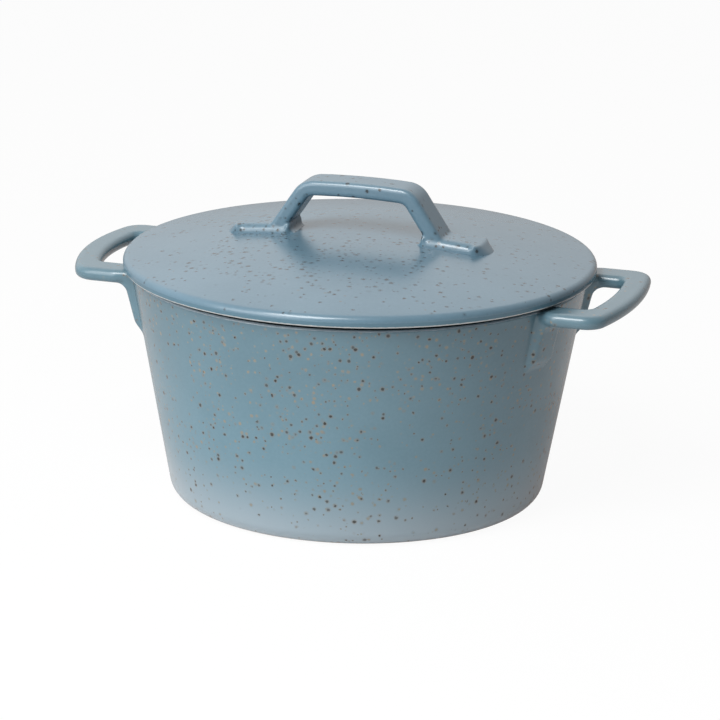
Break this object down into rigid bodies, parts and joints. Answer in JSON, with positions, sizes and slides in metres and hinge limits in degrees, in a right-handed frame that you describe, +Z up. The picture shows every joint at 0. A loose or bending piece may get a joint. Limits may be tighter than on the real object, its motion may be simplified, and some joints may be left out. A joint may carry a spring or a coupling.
{
  "type": "covered casserole dish",
  "caption": "Round tapered stoneware casserole pot with flat loop side handles and a domed lift-off lid that has a strap grip, in speckled satin glaze.",
  "frame": {"origin": "centre of the foot ring, on the surface that the pot stands on", "axes": "+Z up, +X through the right side handle, so X runs along the longest extent"},
  "size_m": [0.2928, 0.24, 0.1635],
  "materials": {
    "glaze": "satin speckled blue-grey glaze with iron specks over stoneware",
    "lid_glaze": "satin speckled blue-grey glaze with iron specks over stoneware"
  },
  "bodies": {
    "dish": {"dish_body": "glaze", "dish_handle_left": "glaze", "dish_handle_right": "glaze"},
    "lid": {"lid_plate": "lid_glaze", "lid_handle": "lid_glaze"}
  },
  "joints": [
    {"name": "lid_lift", "type": "slide", "parent": "dish", "child": "lid", "axis": [0, 0, 1], "range_m": [0, 0.15]}
  ]
}
